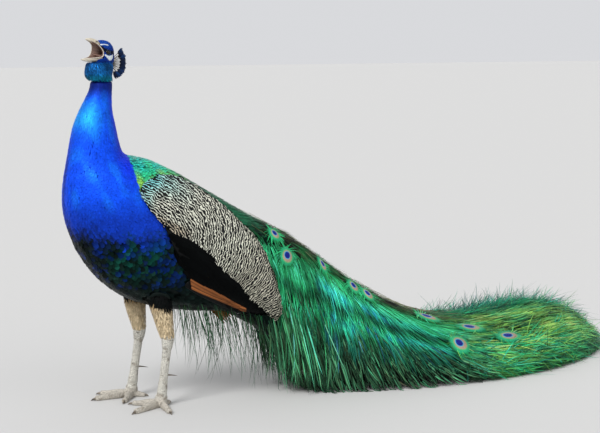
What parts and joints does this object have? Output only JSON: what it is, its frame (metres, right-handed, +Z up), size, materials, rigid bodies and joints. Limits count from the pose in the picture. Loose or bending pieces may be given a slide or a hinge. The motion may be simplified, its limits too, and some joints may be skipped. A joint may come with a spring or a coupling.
{
  "type": "peacock",
  "caption": "Life-size standing Indian peacock with neck upright, bill open, wings folded and its long train laid out behind it on the floor.",
  "frame": {"origin": "on the floor, below the middle of the bird's bounding box", "axes": "+Z up, the bird faces -Y, its left side is +X and the train runs back along +Y"},
  "size_m": [0.59, 1.7624, 0.9621],
  "materials": {
    "blue_plumage": "short silky feathers, cobalt with an azure gleam",
    "teal_plumage": "short dense throat feathers, teal blue",
    "dark_green_plumage": "scaled feathers, green black with blue green edges",
    "train_plumage": "long loose barbs, emerald with bronze and turquoise gleams, and eye spots",
    "barred_plumage": "buff feathers with wavy black bars",
    "black_plumage": "smooth black flight feathers",
    "rufous_plumage": "chestnut flight feathers",
    "sandy_plumage": "short sandy feathers",
    "crest_feathers": "bare pale shafts with small dark blue tips",
    "scaly_skin": "pale grey scaly skin with shields along the front",
    "bill_horn": "pale horn, smooth with fine growth lines",
    "claw_horn": "worn horn",
    "mouth_flesh": "moist skin",
    "eye_gloss": "wet gloss, dark brown iris and black pupil"
  },
  "bodies": {
    "root": {"head": "blue_plumage", "throat": "teal_plumage", "bill_upper": "bill_horn", "bill_lower": "bill_horn", "tongue": "mouth_flesh", "crest": "crest_feathers", "eye_left": "eye_gloss", "eye_right": "eye_gloss", "neck_upper": "blue_plumage", "neck_middle": "blue_plumage", "neck_lower": "blue_plumage", "breast": "blue_plumage", "trunk": "dark_green_plumage", "rump": "train_plumage", "train_root": "train_plumage", "train_middle": "train_plumage", "train_outer": "train_plumage", "train_tip": "train_plumage", "wing_coverts_left": "barred_plumage", "wing_secondaries_left": "black_plumage", "wing_primaries_left": "rufous_plumage", "thigh_left": "sandy_plumage", "shank_left": "scaly_skin", "foot_left": "scaly_skin", "claw_middle_left": "claw_horn", "claw_inner_left": "claw_horn", "claw_outer_left": "claw_horn", "claw_hind_left": "claw_horn", "wing_coverts_right": "barred_plumage", "wing_secondaries_right": "black_plumage", "wing_primaries_right": "rufous_plumage", "thigh_right": "sandy_plumage", "shank_right": "scaly_skin", "foot_right": "scaly_skin", "claw_middle_right": "claw_horn", "claw_inner_right": "claw_horn", "claw_outer_right": "claw_horn", "claw_hind_right": "claw_horn"}
  },
  "joints": []
}
